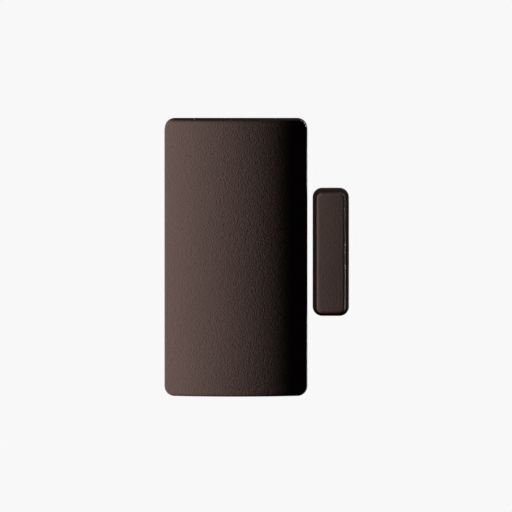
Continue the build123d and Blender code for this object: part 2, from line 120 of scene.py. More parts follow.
# Places on the transmitter, in millimetres
BOARD_FRONT = 6.1
BOARD_BACK = 4.5
HOUSING_HALF_WIDTH = 20.2
HOUSING_HALF_HEIGHT = 39.0
HOUSING_DEPTH = 24.0
BOW_RADIUS = 39.85
COVER_WALL = 1.8
CELL_X, CELL_DEPTH, CELL_TOP, CELL_BOTTOM = -8.0, 10.9, 5.1, -28.2
TANK_X, TANK_Z = 0.3, 14.0
CHIP_LOW_CORNER = (-9.65, 20.75)
CHIP_WIDTH = 10.3
RESONATOR_X, RESONATOR_Z = 9.0, 24.5
REED_X, REED_OUTLINE_LOW, REED_OUTLINE_HIGH = 14.6, -7.2, 9.4
SCREW_CENTRES = ((7.0, -30.5), (11.0, -30.5))
TAMPER_X, TAMPER_Z, TAMPER_FOOT_Z = 6.5, -10.0, 2.0
CLIP_PAD_SPANS = ((8.7, 11.35), (-35.3, -31.2))
CLIP_JOINTS = ((10.9, 1.0, 0.5), (-34.85, -1.0, 0.4))  # z, the way out and the reach of the fillets
EJECTOR_HEIGHTS = (-33.0, -14.5, 8.5, 34.0)
EJECTOR_RADIUS = 1.7

# Wires that pass through the board: x, z and radius
WIRES = (
    (REED_X, -8.3, 0.3), (REED_X, 10.5, 0.3), (-10.5, 33.4, 0.45), (10.5, 33.4, 0.45),
    (7.0, -32.95, 0.32), (11.0, -32.95, 0.32),
)

# Half sizes of the pads, across and up
LEAD_PAD, FOOT_PAD, TANK_PAD, TAMPER_PAD = (0.33, 0.85), (0.42, 0.5), (0.9, 0.75), (0.75, 0.6)
CLIP_PAD_HALF_WIDTH = 4.5

# Inner and outer radius
WIRE_PAD, VIA = (0.5, 1.05), (0.17, 0.36)

SUNK = 0.01  # how far printed and soldered detail starts inside the board
PAD_RISE = 0.02  # how far a pad stands above the tracks
POWER_DROP = 0.008  # how far the supply tracks lie below the signal tracks, so that crossings don't flicker


def shade(colour, factor=1.0):
    """The same hue, lighter or darker, with the opaque alpha that a socket wants."""
    return (*(min(1.0, part * factor) for part in colour[:3]), 1.0)


# ---------------------------------------------------------------- finishes


class Signal:
    """An output of a finish's nodes. Arithmetic on it adds Math nodes, so a mask reads as an expression."""

    def __init__(self, finish, socket):
        self.finish = finish
        self.socket = socket

    def math(self, operation, *values):
        return self.finish.node("ShaderNodeMath", {"operation": operation}, dict(enumerate(values)))

    def __add__(self, other):
        return self.math("ADD", self, other)

    def __sub__(self, other):
        return self.math("SUBTRACT", self, other)

    def __rsub__(self, other):
        return self.math("SUBTRACT", other, self)

    def __mul__(self, other):
        return self.math("MULTIPLY", self, other)

    def __abs__(self):
        return self.math("ABSOLUTE", self)

    __radd__ = __add__
    __rmul__ = __mul__

    def either(self, other):
        """The larger of two signals: a mask that is on where either is."""
        return self.math("MAXIMUM", self, other)

    def sine(self):
        return self.math("SINE", self)

    def root(self):
        return self.math("SQRT", self)

    def above(self, edge, soft):
        """0 below an edge and 1 above it, with a soft step between."""
        return self.finish.node(
            "ShaderNodeMapRange",
            {"interpolation_type": "SMOOTHSTEP"},
            {"Value": self, "From Min": edge - soft, "From Max": edge + soft},
        )


class Finish:
    """A material under construction, whose pattern coordinates are metres in the row frame."""

    def __init__(self, name):
        self.material = bpy.data.materials.new(name)
        self.material.use_nodes = True
        self.tree = self.material.node_tree
        self.tree.nodes.clear()
        self.shader = self.tree.nodes.new("ShaderNodeBsdfPrincipled")
        output = self.tree.nodes.new("ShaderNodeOutputMaterial")
        self.tree.links.new(self.shader.outputs["BSDF"], output.inputs["Surface"])
        self.place = self.node("ShaderNodeTexCoord", {}, {}, "Object")
        self.facing = self.node("ShaderNodeTexCoord", {}, {}, "Normal")

    def node(self, kind, settings, values, output=0):
        """Adds a node: its type, its settings, then the values or links of its sockets."""
        made = self.tree.nodes.new(kind)
        for name, value in settings.items():
            setattr(made, name, value)
        for name, value in values.items():
            self.feed(made.inputs[name], value)
        return Signal(self, made.outputs[output])

    def feed(self, socket, value):
        if isinstance(value, Signal):
            self.tree.links.new(value.socket, socket)
        else:
            socket.default_value = value

    def surface(self, tone, rough, relief, micrometres, **values):
        """Sets colour, roughness and relief, and any other sockets by names that have _ for a space."""
        bump = {"Height": relief, "Distance": micrometres * 1e-6, "Strength": 1.0}
        values |= {"Base_Color": tone, "Roughness": rough, "Normal": self.node("ShaderNodeBump", {}, bump)}
        for name, value in values.items():
            self.feed(self.shader.inputs[name.replace("_", " ")], value)
        return self.material

    def axes(self, vector=None):
        """The three parts of a vector, in millimetres when it is the place."""
        scaled = self.scaled((1 / MM,) * 3) if vector is None else vector
        return [self.node("ShaderNodeSeparateXYZ", {}, {0: scaled}, axis) for axis in range(3)]

    def scaled(self, factors):
        return self.node("ShaderNodeVectorMath", {"operation": "MULTIPLY"}, {0: self.place, 1: factors})

    def noise(self, size, detail=2.0, roughness=0.5, stretch=(1, 1, 1)):
        """Cloudy variation about 0.5, whose lumps are size millimetres across."""
        place = self.scaled(tuple(1 / (size * MM * part) for part in stretch))
        values = {"Vector": place, "Scale": 1.0, "Detail": detail, "Roughness": roughness}
        return self.node("ShaderNodeTexNoise", {}, values)

    def pebbles(self, size, smoothness=0.6):
        """Rounded cells, size millimetres across: 0 at each middle and rising to its edge."""
        wander = self.noise(size * 2.5, 1.0)
        push = self.node(
            "ShaderNodeVectorMath",
            {"operation": "MULTIPLY_ADD"},
            {0: wander, 1: (0.9, 0.9, 0.9), 2: self.scaled((1 / (size * MM),) * 3)},
        )
        values = {"Vector": push, "Scale": 1.0, "Smoothness": smoothness}
        return self.node("ShaderNodeTexVoronoi", {"feature": "SMOOTH_F1"}, values, "Distance")

    def mix(self, factor, low, high):
        """From one colour to another."""
        return self.node("ShaderNodeMix", {"data_type": "RGBA"}, {0: factor, 6: low, 7: high}, 2)

    def tones(self, factor, colour, darker, lighter):
        """From a darker shade of a colour to a lighter one."""
        return self.mix(factor, shade(colour, darker), shade(colour, lighter))

    def distance_from(self, across, up, centre):
        """How far a place is from an axis, in millimetres."""
        first = across - centre[0]
        second = up - centre[1]
        return (first * first + second * second).root()


def moulded_plastic(name, colour, grain, height, gloss_at, outer_mask=None):
    """Spark-eroded plastic: fine pebbles outside, with painted shade darkening their valleys, and a smoother
    face where the mask is off.
    """
    finish = Finish(name)
    pebble = finish.pebbles(grain)
    fine = finish.noise(grain * 0.45, 2.0)
    broad = finish.noise(grain * 3.4, 1.0)
    relief = 1 - pebble + fine * 0.5 + broad * 0.5
    if outer_mask:
        inside = finish.noise(2.2, 3.0)
        outside = outer_mask(finish)
        relief = relief * (outside * 0.86 + 0.14) + inside * (0.3 - 0.3 * outside)
    cloud = finish.noise(16.0, 3.0, 0.6)
    # painted shade: the grain's valleys, the low edges of the pebbles, are darkened in colour and made a
    # little rougher
    shaded_valley = pebble.above(0.62, 0.28)
    tone = finish.tones(cloud, colour, 0.94, 1.06)
    tone = finish.mix(shaded_valley * 0.3, tone, shade(colour, 0.55))
    rough = gloss_at + 0.07 * (fine - 0.5) + 0.05 * (cloud - 0.5) + 0.06 * shaded_valley
    return finish.surface(tone, rough, relief, height, Specular_IOR_Level=0.12)


def magnet_outside(finish):
    """On over the magnet unit, and off on the face that lies against the door."""
    _, y, _ = finish.axes()
    return (0 - y).above(0.25, 0.15)


def transmitter_outside(finish):
    """On over the transmitter's outer faces, and off inside it."""
    x, y, z = finish.axes()
    bowed = finish.distance_from(x, y, (0.0, BOW_RADIUS - HOUSING_DEPTH))
    sides = abs(x).above(HOUSING_HALF_WIDTH - 0.6, 0.3)
    ends = abs(z).above(HOUSING_HALF_HEIGHT - 0.6, 0.3)
    return bowed.above(BOW_RADIUS - 0.8, 0.3).either(sides).either(ends)


def metal(name, colour, rough, grain, stretch, height=1.2, tarnish=0.25):
    """Drawn, rolled or turned metal, with its marks along one axis and a slight tarnish."""
    finish = Finish(name)
    marks = finish.noise(grain, 3.0, 0.65, stretch)
    cloud = finish.noise(3.5, 3.0, 0.6)
    tone = finish.tones(marks, colour, 0.86, 1.08)
    tone = finish.mix(cloud.above(0.55, 0.2) * tarnish, tone, shade(colour, 0.6))
    return finish.surface(
        tone, rough + 0.16 * (marks - 0.5) + 0.12 * (cloud - 0.5), marks, height, Metallic=1.0
    )


def turned_metal(name, colour):
    """Plated screw steel, with the lathe's rings about each screw's axis."""
    finish = Finish(name)
    x, _, z = finish.axes()
    rings = None
    for centre in SCREW_CENTRES:
        reach = finish.distance_from(x, z, centre)
        ring = (reach * 34.0).sine() * (1 - reach.above(1.7, 0.05))
        rings = ring if rings is None else rings + ring
    cloud = finish.noise(0.9, 4.0, 0.6)
    tone = finish.tones(cloud, colour, 0.8, 1.1)
    return finish.surface(tone, 0.3 + 0.14 * cloud, rings * 0.4 + cloud * 0.6, 5.0, Metallic=1.0)


def moulding(name, colour, rough=0.55, grain=0.16, height=4.0, mottle=0.12):
    """Filled resin or nylon with a fine, dull skin."""
    finish = Finish(name)
    speck = finish.noise(grain, 3.0, 0.7)
    flow = finish.noise(2.6, 2.0, 0.5, (1.0, 1.0, 0.35))
    tone = finish.tones(speck * 0.6 + flow * 0.4, colour, 1 - mottle, 1 + mottle)
    return finish.surface(tone, rough + 0.12 * (flow - 0.5), speck, height)


def chip_moulding(colour):
    """Encapsulant with a polished dimple at the first lead and a parting line round its middle."""
    finish = Finish("Encapsulant")
    x, y, z = finish.axes()
    speck = finish.noise(0.12, 3.0, 0.7)
    corner = (CHIP_LOW_CORNER[0] + 1.1, CHIP_LOW_CORNER[1] + 1.1)
    dimple = 1 - finish.distance_from(x, z, corner).above(0.55, 0.06)
    parting = 1 - abs(y + BOARD_FRONT + 1.25).above(0.05, 0.03)
    tone = finish.tones(speck, colour, 0.8, 1.3)
    tone = finish.mix(dimple * 0.6, tone, shade(colour, 2.2))
    return finish.surface(
        tone, 0.58 - 0.3 * dimple + 0.06 * speck, speck * 0.3 - dimple * 1.6 - parting * 0.7, 24.0
    )


def laminate(colour, bare):
    """Solder mask over woven glass: a faint weave on the faces, and the bare laminate along the cut edges."""
    finish = Finish("Masked laminate")
    x, _, z = finish.axes()
    _, toward_wall, _ = finish.axes(finish.facing)
    edge = 1 - abs(toward_wall).above(0.6, 0.1)
    weave = (x * 12.5).sine() * (z * 12.5).sine()
    cloud = finish.noise(5.0, 3.0)
    plane = abs((x * 2.1).sine()).above(0.93, 0.03).either(abs((z * 2.1).sine()).above(0.93, 0.03))
    tone = finish.tones(cloud, colour, 0.85, 1.15)
    tone = finish.mix(weave * 0.1 + 0.1, tone, shade(colour, 1.5))
    tone = finish.mix(plane * 0.22, tone, shade(colour, 0.6))
    layers = finish.noise(0.5, 2.0, 0.6, (8.0, 0.3, 8.0)).above(0.5, 0.2)
    cut = finish.mix(layers, shade(bare, 0.75), shade(bare))
    return finish.surface(
        finish.mix(edge, tone, cut),
        0.26 + 0.5 * edge + 0.08 * (cloud - 0.5),
        weave * 0.25 + cloud,
        5.0,
        Coat_Weight=0.5 - 0.5 * edge,
    )


def cell_wrap(colour, band):
    """Shrunk film over a cell: glossy, with two pale bands and pinched, wavy shoulders."""
    finish = Finish("Cell film")
    x, y, z = finish.axes()
    cloud = finish.noise(6.0, 3.0)
    broad = z.above(-2.0, 0.05) * (1 - z.above(1.5, 0.05))
    thin = z.above(-3.4, 0.04) * (1 - z.above(-2.8, 0.04))
    shoulder = z.above(CELL_TOP - 2.2, 0.9).either(1 - z.above(CELL_BOTTOM + 2.4, 0.9))
    around = x.math("ARCTAN2", x - CELL_X, y + CELL_DEPTH)
    ripple = (around * 30.0 + cloud * 9.0).sine() * shoulder
    tone = finish.tones(cloud, colour, 0.86, 1.14)
    tone = finish.mix(broad.either(thin), tone, shade(band))
    return finish.surface(tone, 0.24 + 0.1 * cloud, ripple * 0.5 + cloud * 0.8, 26.0, Coat_Weight=0.4)


def wound_core(colour):
    """The cut end of a wound strip and separator."""
    finish = Finish("Wound electrode")
    x, y, _ = finish.axes()
    turn = (finish.distance_from(x, y, (CELL_X, -CELL_DEPTH)) * 9.0).sine().above(0.0, 0.3)
    tone = finish.mix(turn, shade(colour), shade(colour, 6.0))
    return finish.surface(tone, 0.8 - 0.2 * turn, turn, 20.0)


def tube_glass(colour):
    """Drawn glass with a faint green tint."""
    finish = Finish("Reed glass")
    draw = finish.noise(1.2, 2.0, 0.5, (1.0, 1.0, 6.0))
    return finish.surface(shade(colour), 0.02 + 0.05 * draw, draw, 5.0, Transmission_Weight=1.0, IOR=1.47)


def capacitor_skin(colour):
    """Drawn aluminium with a dark segment printed at one side of its top and a scored relief groove."""
    finish = Finish("Capacitor aluminium")
    x, y, z = finish.axes()
    reach = finish.distance_from(x, z, (TANK_X, TANK_Z))
    rings = (reach * 26.0).sine()
    top = 1 - (y + BOARD_FRONT).above(-5.2, 0.06)
    segment = x.above(TANK_X + 1.55, 0.04) * top
    groove = (1 - abs(x - TANK_X).above(0.1, 0.05)).either(1 - abs(z - TANK_Z).above(0.1, 0.05))
    groove = groove * top * (1 - reach.above(2.0, 0.1))
    cloud = finish.noise(0.8, 3.0, 0.6, (1.0, 4.0, 1.0))
    tone = finish.tones(cloud, colour, 0.82, 1.05)
    tone = finish.mix(segment, tone, shade((0.02, 0.022, 0.03)))
    rough = 0.3 + 0.1 * cloud + 0.2 * segment
    relief = rings * 0.08 + cloud * 0.3 - groove * 2.0
    return finish.surface(tone, rough, relief, 24.0, Metallic=1 - segment)


def resistor_skin(glaze, alumina):
    """Black glaze over the top of a white alumina body."""
    finish = Finish("Glazed alumina")
    _, toward_wall, _ = finish.axes(finish.facing)
    top = 1 - toward_wall.above(-0.6, 0.1)
    speck = finish.noise(0.2, 3.0, 0.6)
    white = finish.mix(speck, shade(alumina, 0.85), shade(alumina))
    return finish.surface(finish.mix(top, white, shade(glaze)), 0.7 - 0.4 * top + 0.1 * speck, speck, 6.0)


def magnet_skin(colour):
    """Cast alloy with ground faces: coarse pits, and grinding marks along the bar."""
    finish = Finish("Ground magnet alloy")
    pits = finish.pebbles(0.5).above(0.75, 0.15)
    marks = finish.noise(0.12, 3.0, 0.7, (1.0, 1.0, 14.0))
    tone = finish.tones(pits, colour, 1.15, 0.45)
    return finish.surface(
        tone, 0.42 + 0.3 * pits + 0.1 * marks, marks * 0.3 - pits, 18.0, Metallic=0.9 - 0.4 * pits
    )


def bright_solder(colour):
    """Reflowed solder: bright, faintly dimpled as it froze."""
    finish = Finish("Solder")
    freeze = finish.pebbles(0.35, 0.9)
    cloud = finish.noise(0.6, 3.0)
    tone = finish.tones(cloud, colour, 0.8, 1.1)
    return finish.surface(tone, 0.2 + 0.2 * cloud, freeze + cloud, 12.0, Metallic=1.0)


def masked_copper(mask, copper):
    """A track under solder mask, where the copper warms the green."""
    finish = Finish("Masked copper")
    cloud = finish.noise(3.0, 3.0)
    tone = finish.mix(cloud * 0.22 + 0.1, shade(mask, 1.75), shade(copper))
    return finish.surface(tone, 0.24 + 0.1 * cloud, cloud, 4.0)


def printed_ink(colour):
    """Screen-printed ink, slightly thin at the mesh."""
    finish = Finish("Legend ink")
    mesh = finish.noise(0.12, 2.0)
    tone = finish.mix(mesh.above(0.38, 0.12), shade(colour, 0.6), shade(colour))
    return finish.surface(tone, 0.62 + 0.1 * mesh, mesh, 6.0)


def dress(material, *names):
    """Gives CAD nodes their material."""
    for name in names:
        slots = NODES[name].data.materials
        slots.clear()
        slots.append(material)


# ---------------------------------------------------------------- shapes


TURN_STEPS = 24
SHARP_ANGLE = math.radians(40)
EDGE = 0.02  # the soft front edge of a pad


class Shape:
    """A mesh under construction from many small forms, given in millimetres as x, depth and z."""

    def __init__(self):
        self.mesh = bmesh.new()

    def loops(self, rings, wrap=False):
        """Skins one ring of (x, depth, z) points to the next, and closes the ends unless they meet."""
        made = []
        for ring in rings:
            made.append([self.mesh.verts.new((x * MM, -depth * MM, z * MM)) for x, depth, z in ring])
        pairs = list(zip(made, made[1:] + made[:1])) if wrap else list(zip(made, made[1:]))
        for low, high in pairs:
            count = len(low)
            for step in range(count):
                after = (step + 1) % count
                self.mesh.faces.new((low[step], low[after], high[after], high[step]))
        if not wrap:
            self.mesh.faces.new(made[0][::-1])
            self.mesh.faces.new(made[-1])

    def pillow(self, x, z, half_x, half_z, back, front, corner=0.12):
        """A thin slab with rounded corners and a soft front edge."""
        rings = []
        for shrink, drop in ((0.0, back - front), (0.0, -EDGE), (EDGE * 0.35, -EDGE * 0.35), (EDGE, 0.0)):
            reach_x, reach_z = half_x - shrink, half_z - shrink
            radius = min(corner, reach_x * 0.98, reach_z * 0.98)
            ring = []
            for quarter, (side_x, side_z) in enumerate(((1, 1), (-1, 1), (-1, -1), (1, -1))):
                for step in range(4):
                    turn = math.radians(90 * quarter + 30 * step)
                    across = side_x * (reach_x - radius) + radius * math.cos(turn)
                    up = side_z * (reach_z - radius) + radius * math.sin(turn)
                    ring.append((x + across, front + drop, z + up))
            rings.append(ring)
        self.loops(rings)

    def turned(self, x, z, profile, wrap=False):
        """A form turned about an axis that points out of the wall, through (radius, depth) stations."""
        angles = [2 * math.pi * step / TURN_STEPS for step in range(TURN_STEPS)]
        rings = []
        for radius, depth in profile:
            rings.append([(x + radius * math.cos(a), depth, z + radius * math.sin(a)) for a in angles])
        self.loops(rings, wrap)

    def washer(self, x, z, inner, outer, back, front):
        """A flat ring."""
        self.turned(x, z, ((inner, back), (outer, back), (outer, front), (inner, front)), wrap=True)

    def ribbon(self, points, width, back, front):
        """A flat strip along a route, with mitred corners and rounded ends."""
        half = width / 2
        path = [Vector(point) for point in points]
        left, right = [], []
        for place, point in enumerate(path):
            before = (point - path[place - 1]).normalized() if place else None
            after = (path[place + 1] - point).normalized() if place + 1 < len(path) else None
            along = ((before or after) + (after or before)).normalized()
            side = Vector((-along.y, along.x))
            leg = after or before
            reach = half / max(0.4, side.dot(Vector((-leg.y, leg.x))))
            left.append(point + side * reach)
            right.append(point - side * reach)
        outline = right + self.cap_arc(path[-1], path[-2], half)
        outline += left[::-1] + self.cap_arc(path[0], path[1], half)
        self.loops([[(p.x, depth, p.y) for p in outline] for depth in (back, front)])

    @staticmethod
    def cap_arc(end, inner, half):
        """Points round a strip's end, from its right side to its left."""
        ahead = (end - inner).normalized()
        start = math.atan2(ahead.y, ahead.x) - math.pi / 2
        angles = [start + math.pi * step / 6 for step in range(1, 6)]
        return [end + half * Vector((math.cos(a), math.sin(a))) for a in angles]

    def wedge(self, x, z, out_x, out_z, half, start, reach, back, high):
        """A concave solder fillet: it leans on a vertical end and runs outwards along its pad."""
        stations = ((0.0, 1.0), (0.18, 0.55), (0.42, 0.24), (0.72, 0.08), (1.0, 0.02))
        rings = []
        for along, rise in stations:
            away = start + reach * along
            spread = half * (1.0 - 0.25 * along * along)
            middle = (x + out_x * away, z + out_z * away)
            top = back + (high - back) * rise
            shoulder = top * 0.9 + back * 0.1
            ring = []
            for side, depth in ((-1, back), (-0.95, shoulder), (0, top), (0.95, shoulder), (1, back)):
                ring.append((middle[0] + out_z * spread * side, depth, middle[1] + out_x * spread * side))
            rings.append(ring)
        self.loops(rings)

    def finish(self, name, body, slot, material, smooth=True):
        """Closes the mesh and hands it over as a piece that rides on a body."""
        bmesh.ops.recalc_face_normals(self.mesh, faces=self.mesh.faces)
        data = bpy.data.meshes.new(name)
        self.mesh.to_mesh(data)
        self.mesh.free()
        data.materials.append(material)
        if smooth:
            data.polygons.foreach_set("use_smooth", [True] * len(data.polygons))
            data.set_sharp_from_angle(angle=SHARP_ANGLE)
        piece = bpy.data.objects.new(name, data)
        bpy.context.scene.collection.objects.link(piece)
        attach(piece, body)


def islands(name):
    """The low and high (x, depth, z) corners of each separate solid in a node, in millimetres."""
    mesh = NODES[name].data
    spots = [tuple(round(part * 1e6) for part in vertex.co) for vertex in mesh.vertices]
    group = {}

    def root(spot):
        while spot in group:
            spot = group[spot]
        return spot

    for polygon in mesh.polygons:
        first, *others = (spots[index] for index in polygon.vertices)
        for other in map(root, others):
            if other != root(first):
                group[other] = root(first)
    boxes = {}
    for vertex, spot in zip(mesh.vertices, spots):
        point = (vertex.co.x / MM, -vertex.co.y / MM, vertex.co.z / MM)
        low, high = boxes.setdefault(root(spot), ([1e9] * 3, [-1e9] * 3))
        for axis in range(3):
            low[axis] = min(low[axis], point[axis])
            high[axis] = max(high[axis], point[axis])
    return sorted((tuple(low), tuple(high)) for low, high in boxes.values())


def chip_part_ends():
    """Each metal end of the small parts: its middle, half sizes and top, and the way out from its partner."""
    ends = []
    for low, high in islands("chip_end_caps"):
        middle = ((low[0] + high[0]) / 2, (low[2] + high[2]) / 2)
        ends.append((middle, (high[0] - low[0]) / 2, (high[2] - low[2]) / 2, high[1]))
    found = []
    for middle, half_x, half_z, top in ends:
        others = [end[0] for end in ends if end[0] != middle]
        partner = min(others, key=lambda other: math.hypot(other[0] - middle[0], other[1] - middle[1]))
        away = Vector((middle[0] - partner[0], middle[1] - partner[1])).normalized()
        found.append((*middle, half_x, half_z, top, away))
    return found


FOOT_SPREAD = 0.95
HEEL = 0.3  # from a lead's inner end to the back of its foot


def transistor_feet():
    """Where each three-leg package's feet stand, and which way they point."""
    feet = []
    for low, high in islands("transistors"):
        x, z = (low[0] + high[0]) / 2, (low[2] + high[2]) / 2
        feet += [(x - FOOT_SPREAD, z - 1.0, -1), (x + FOOT_SPREAD, z - 1.0, -1), (x, z + 1.0, 1)]
    return feet


def lead_feet():
    """The foot of each gull-wing lead: x, the z of its heel, and which way it points."""
    lowest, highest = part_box("controller_chip")
    middle = (lowest.z + highest.z) / 2 / MM
    feet = []
    for low, high in islands("controller_leads"):
        side = 1 if low[2] > middle else -1
        heel = (low[2] if side > 0 else high[2]) + side * HEEL
        feet.append(((low[0] + high[0]) / 2, heel, side))
    return feet


# ---------------------------------------------------------------- settings


def colour_setting(name, description, default):
    return bpy.props.FloatVectorProperty(
        name=name, description=description, default=default, subtype="COLOR", size=3, min=0.0, max=1.0
    )


def number_setting(name, description, default, unit="NONE"):
    return bpy.props.FloatProperty(
        name=name, description=description, default=default, min=0.0, precision=3, unit=unit
    )


class ContactColours(bpy.types.PropertyGroup):
    """Colours that a user may want to change."""

    plastic: colour_setting("Housing", "Dark brown of both housings", (0.085, 0.0538, 0.0464))
    board: colour_setting("Solder mask", "Green of the printed board", (0.012, 0.115, 0.045))
    bare: colour_setting("Bare laminate", "Cut edge of the board", (0.42, 0.36, 0.17))
    copper: colour_setting("Copper", "Copper under the mask", (0.55, 0.30, 0.12))
    legend: colour_setting("Legend", "Printed outlines on the board", (0.78, 0.78, 0.74))
    wrap: colour_setting("Cell film", "Film over the cell", (0.022, 0.055, 0.20))
    band: colour_setting("Film band", "Pale band on the film", (0.62, 0.64, 0.66))
    terminal: colour_setting("Terminal block", "Green of the terminal block", (0.02, 0.21, 0.075))
    steel: colour_setting("Bright steel", "Nickel-plated steel", (0.66, 0.655, 0.64))
    tin: colour_setting("Tinned wire", "Tinned leads and pads", (0.72, 0.72, 0.70))
    zinc: colour_setting("Zinc plate", "Screws and clamps", (0.62, 0.64, 0.66))
    alloy: colour_setting("Magnet", "Cast magnet alloy", (0.24, 0.235, 0.23))


class ContactSizes(bpy.types.PropertyGroup):
    """Sizes that a user may want to change, in millimetres unless named otherwise."""

    grain: number_setting("Grain", "Width of a pebble of the housings' grain", 0.37)
    grain_height: number_setting("Grain height", "Height of the grain, in micrometres", 120.0)
    track: number_setting("Track", "Width of a signal track", 0.36)
    power_track: number_setting("Power track", "Width of a supply track", 0.95)
    track_rise: number_setting("Track rise", "How far a track lifts the mask", 0.045)
    pad_margin: number_setting("Pad margin", "How far a pad reaches past its part", 0.3)
    joint_radius: number_setting("Joint radius", "Radius of a soldered lead's joint", 0.92)
    joint_height: number_setting("Joint height", "Height of a soldered lead's joint", 0.85)


class StudioSettings(bpy.types.PropertyGroup):
    """Camera and lights."""

    distance: number_setting("Camera distance", "From the camera to the object", 4.0, "LENGTH")
    lens: number_setting("Lens", "Focal length, in millimetres", 993.5)
    elevation: number_setting("Camera elevation", "Above level", math.radians(2.55), "ROTATION")
    key_angle: number_setting("Key angle", "Leftwards from the view", math.radians(69.5), "ROTATION")
    key_power: number_setting("Key power", "Watts, on the transmitter's shell", 14.8)
    magnet_share: number_setting("Magnet share", "Part of the key's power on the magnet unit's shell", 0.64)
    magnet_top_power: number_setting("Magnet top", "Watts, on the magnet unit from above", 2.0)
    inside_power: number_setting("Inside power", "Watts, on what the shells hold", 8.5)
    back_power: number_setting("Back power", "Watts, on the back", 2.6)
    sheen_power: number_setting("Sheen power", "Watts, from high behind", 1.0)
    side_power: number_setting("Side power", "Watts, on the right-hand walls", 6.0)
    backdrop: number_setting("Backdrop", "Brightness of the white ground", 0.939)
    ambient: number_setting("Ambient", "Light from all round", 0.012)


def settings(context):
    scene = context.scene
    return scene.contact_colours, scene.contact_sizes, scene.contact_studio


# ---------------------------------------------------------------- operators


class CONTACT_OT_finish_housings(bpy.types.Operator):
    """Gives both housings their grained brown plastic"""

    bl_idname = "contact.finish_housings"
    bl_label = "Finish the housings"

    def execute(self, context):
        colours, sizes, _ = settings(context)
        grain = (sizes.grain, sizes.grain_height, 0.72)
        shell = moulded_plastic("Grained housing", colours.plastic, *grain, transmitter_outside)
        dress(shell, "front_cover", "mounting_base")
        small = moulded_plastic("Grained magnet housing", colours.plastic, *grain, magnet_outside)
        dress(small, "magnet_cap", "magnet_base")
        return {"FINISHED"}


class CONTACT_OT_finish_board(bpy.types.Operator):
    """Gives the circuit board its solder mask and bare edges"""

    bl_idname = "contact.finish_board"
    bl_label = "Finish the board"

    def execute(self, context):
        colours, _, _ = settings(context)
        dress(laminate(colours.board, colours.bare), "circuit_board")
        return {"FINISHED"}


class CONTACT_OT_finish_power(bpy.types.Operator):
    """Gives the cell and its contacts their film, steel and springs"""

    bl_idname = "contact.finish_power"
    bl_label = "Finish the cell and contacts"

    def execute(self, context):
        colours, _, _ = settings(context)
        steel = metal("Cell steel", colours.steel, 0.26, 0.5, (8, 8, 0.4))
        dress(steel, "battery_can", "battery_positive_cap")
        dress(cell_wrap(colours.wrap, colours.band), "battery_sleeve")
        dress(moulding("Fibre washer", (0.66, 0.63, 0.52), 0.8, 0.3, 10.0, 0.2), "battery_seal_ring")
        dress(wound_core((0.03, 0.03, 0.035)), "battery_core")
        strip = metal("Contact strip", colours.steel, 0.3, 0.3, (9, 0.5, 0.5))
        dress(strip, "battery_clip_positive", "battery_clip_negative", "tamper_lever")
        dress(metal("Spring wire", colours.steel, 0.22, 0.2, (1, 1, 1)), "battery_spring")
        return {"FINISHED"}


class CONTACT_OT_finish_switches(bpy.types.Operator):
    """Gives the reed switch, tamper switch and magnet their finishes"""

    bl_idname = "contact.finish_switches"
    bl_label = "Finish the switches and magnet"

    def execute(self, context):
        colours, _, _ = settings(context)
        dress(tube_glass((0.80, 0.93, 0.86)), "reed_envelope")
        dress(metal("Reed alloy", (0.60, 0.58, 0.54), 0.28, 0.25, (0.5, 0.5, 6)), "reed_blade")
        dress(moulding("Switch moulding", (0.016, 0.016, 0.017)), "tamper_switch_body")
        dress(moulding("Natural nylon", (0.72, 0.69, 0.60), 0.4, 0.3, 3.0, 0.06), "tamper_button")
        dress(metal("Pivot steel", colours.zinc, 0.3, 0.2, (6, 1, 1)), "tamper_pivot_pin")
        dress(magnet_skin(colours.alloy), "magnet_bar")
        return {"FINISHED"}


class CONTACT_OT_finish_components(bpy.types.Operator):
    """Gives the soldered parts and the terminal block their finishes"""

    bl_idname = "contact.finish_components"
    bl_label = "Finish the components"

    def execute(self, context):
        colours, _, _ = settings(context)
        tinned = metal("Tinned wire", colours.tin, 0.25, 0.4, (1, 1, 1))
        wires = ("antenna_wire", "reed_lead_upper", "reed_lead_lower")
        dress(tinned, *wires, "controller_leads", "chip_end_caps", "terminal_pins")
        dress(chip_moulding((0.016, 0.016, 0.018)), "controller_chip")
        dress(moulding("Dark moulding", (0.018, 0.018, 0.019)), "transistors", "capacitor_base")
        drawn = metal("Drawn nickel can", (0.70, 0.69, 0.66), 0.16, 1.2, (1, 6, 1), 2.0, 0.15)
        dress(drawn, "resonator_can", "crystal_can")
        dress(capacitor_skin((0.76, 0.77, 0.78)), "capacitor_can")
        dress(resistor_skin((0.012, 0.012, 0.014), (0.72, 0.72, 0.70)), "chip_resistors")
        dress(moulding("Fired ceramic", (0.36, 0.24, 0.13), 0.5, 0.35, 6.0, 0.2), "chip_capacitors")
        dress(moulding("Terminal polyamide", colours.terminal, 0.42, 0.3, 6.0, 0.1), "terminal_block")
        dress(turned_metal("Plated screw", colours.zinc), "terminal_screw_left", "terminal_screw_right")
        clamp = metal("Plated clamp", colours.zinc, 0.34, 0.35, (1, 1, 1))
        dress(clamp, "terminal_clamp_left", "terminal_clamp_right")
        return {"FINISHED"}


